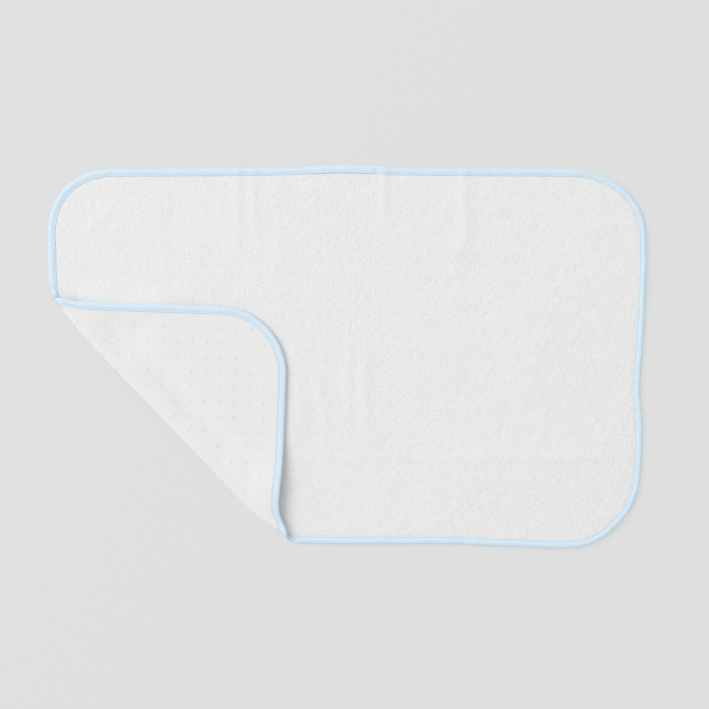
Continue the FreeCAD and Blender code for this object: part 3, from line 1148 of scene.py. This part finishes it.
def thread_material():
    """Spun thread: a slanting twist along each stitch."""
    material, shader = new_material("pale_blue_thread", (0.60, 0.74, 0.88), 0.6, sheen=0.1)
    twist = texture(material, flat_places(material), "Wave", Scale=700.0, bands_direction="DIAGONAL")
    color = color_ramp(material, twist, "Fac", [(0.2, (0.52, 0.66, 0.81)), (0.8, (0.64, 0.78, 0.91))])
    return dressed(material, shader, color, bumped(material, twist, "Fac", 0.0001, 0.5))


def rubber_material():
    """Screen-printed silicone: off-white, satin, slightly grainy."""
    material, shader = new_material("grip_rubber", (0.79, 0.79, 0.79), 0.7)
    grain = texture(material, flat_places(material), "Noise", Scale=900.0, Detail=2.0)
    color = color_ramp(material, grain, "Fac", [(0.3, (0.77, 0.77, 0.77)), (0.7, (0.81, 0.81, 0.81))])
    return dressed(material, shader, color, bumped(material, grain, "Fac", 0.0001, 0.3))


# %% Give every piece its finish, and the left half's and turned corner's pieces their bodies


def finish_piece(piece, part, material):
    piece.data.materials.append(material)
    attach(piece, part)


for layer, material, slot in (
    ("terry_top", terry_material(), "white_terry"),
    ("absorbent_core", felt_material(), "felt_core"),
    ("waterproof_film", film_material(), "clear_film"),
    ("backing_cloth", knit_material(), "white_backing"),
):
    for part, piece in cloths[layer].items():
        finish_piece(piece, part, material)
tape_finish = tape_material()
for part, piece in tape.items():
    finish_piece(piece, part, tape_finish)
lap.data.materials.append(tape_finish)
thread_finish = thread_material()
for part, piece in threads:
    finish_piece(piece, part, thread_finish)
rubber_finish = rubber_material()
for part, piece in dot_pieces.items():
    finish_piece(piece, part, rubber_finish)

# %% [markdown]
# ## The left half's grid, once more
#
# Each cloth was cut as a rectangle with round corners before it was sewn. The pieces here are its
# stretches on the left half, round the bend, on the turned corner and on the right half. Below, the
# grid of the left half and the turned corner is worked out once more and left unused.


def declare_cloths():
    """Works out the grid of the left half and the turned corner, and does nothing more with it."""
    x, y, gap = left_grid(CLOTH_INSET)


declare_cloths()

# %% [markdown]
# ## Floor, light and camera
#
# The mat lies on a pale floor under plain, soft light: an even sky, and one broad lamp far off to
# the upper left, which gives the turned corner its soft shadow. The floor glows a little by itself,
# like a light table, so that what lies on it casts only a faint shadow. The camera looks straight
# down.

# %% Floor
FLOOR_HALF = 6.0
FLOOR_ALBEDO = 0.22
FLOOR_GLOW = 0.525
floor_mesh = bpy.data.meshes.new("floor")
floor_mesh.from_pydata(
    [(-FLOOR_HALF, -FLOOR_HALF, 0), (FLOOR_HALF, -FLOOR_HALF, 0), (FLOOR_HALF, FLOOR_HALF, 0),
     (-FLOOR_HALF, FLOOR_HALF, 0)],
    [], [(0, 1, 2, 3)],
)
floor = put("floor", floor_mesh)
floor_finish = bpy.data.materials.new("pale_floor")
floor_finish.use_nodes = True
floor_shader = floor_finish.node_tree.nodes["Principled BSDF"]
set_sockets(
    floor_shader, Base_Color=(FLOOR_ALBEDO, FLOOR_ALBEDO, FLOOR_ALBEDO, 1), Roughness=1.0,
    Specular_IOR_Level=0.0, Emission_Color=(1, 1, 1, 1), Emission_Strength=FLOOR_GLOW,
)
floor_mesh.materials.append(floor_finish)

# %% Light
# On a level white surface the sky gives SKY and the lamp gives LAMP_SHARE of a full white.
SKY = 0.69
LAMP_SHARE = 0.335
LAMP_TILT = math.radians(45)
LAMP_HEADING = math.radians(150)
LAMP_DISTANCE = 10.0
LAMP_SIZE = 6.5
world = bpy.data.worlds.new("soft_sky")
world.use_nodes = True
set_sockets(world.node_tree.nodes["Background"], Color=(1, 1, 1, 1), Strength=SKY)
bpy.context.scene.world = world
lamp_data = bpy.data.lights.new("broad_lamp", "AREA")
lamp_data.shape = "DISK"
lamp_data.size = LAMP_SIZE
lamp_data.energy = LAMP_SHARE * (math.pi * LAMP_DISTANCE) ** 2 / math.cos(LAMP_TILT)
lamp = put("broad_lamp", lamp_data)
lamp.location = LAMP_DISTANCE * np.array([
    math.sin(LAMP_TILT) * math.cos(LAMP_HEADING),
    math.sin(LAMP_TILT) * math.sin(LAMP_HEADING),
    math.cos(LAMP_TILT),
])
lamp.rotation_euler = (LAMP_TILT, 0, LAMP_HEADING + math.pi / 2)

# %% Camera
CAMERA_LENS = 80.0
VIEW_WIDTH = 0.947
SENSOR = 36.0
camera_data = bpy.data.cameras.new("camera")
camera_data.lens = CAMERA_LENS
camera_data.sensor_width = SENSOR
camera = put("camera", camera_data)
camera.location = (0.0114, 0.0027, BINDING_TOP + VIEW_WIDTH * CAMERA_LENS / SENSOR)
bpy.context.scene.camera = camera
bpy.context.scene.view_settings.view_transform = "Standard"
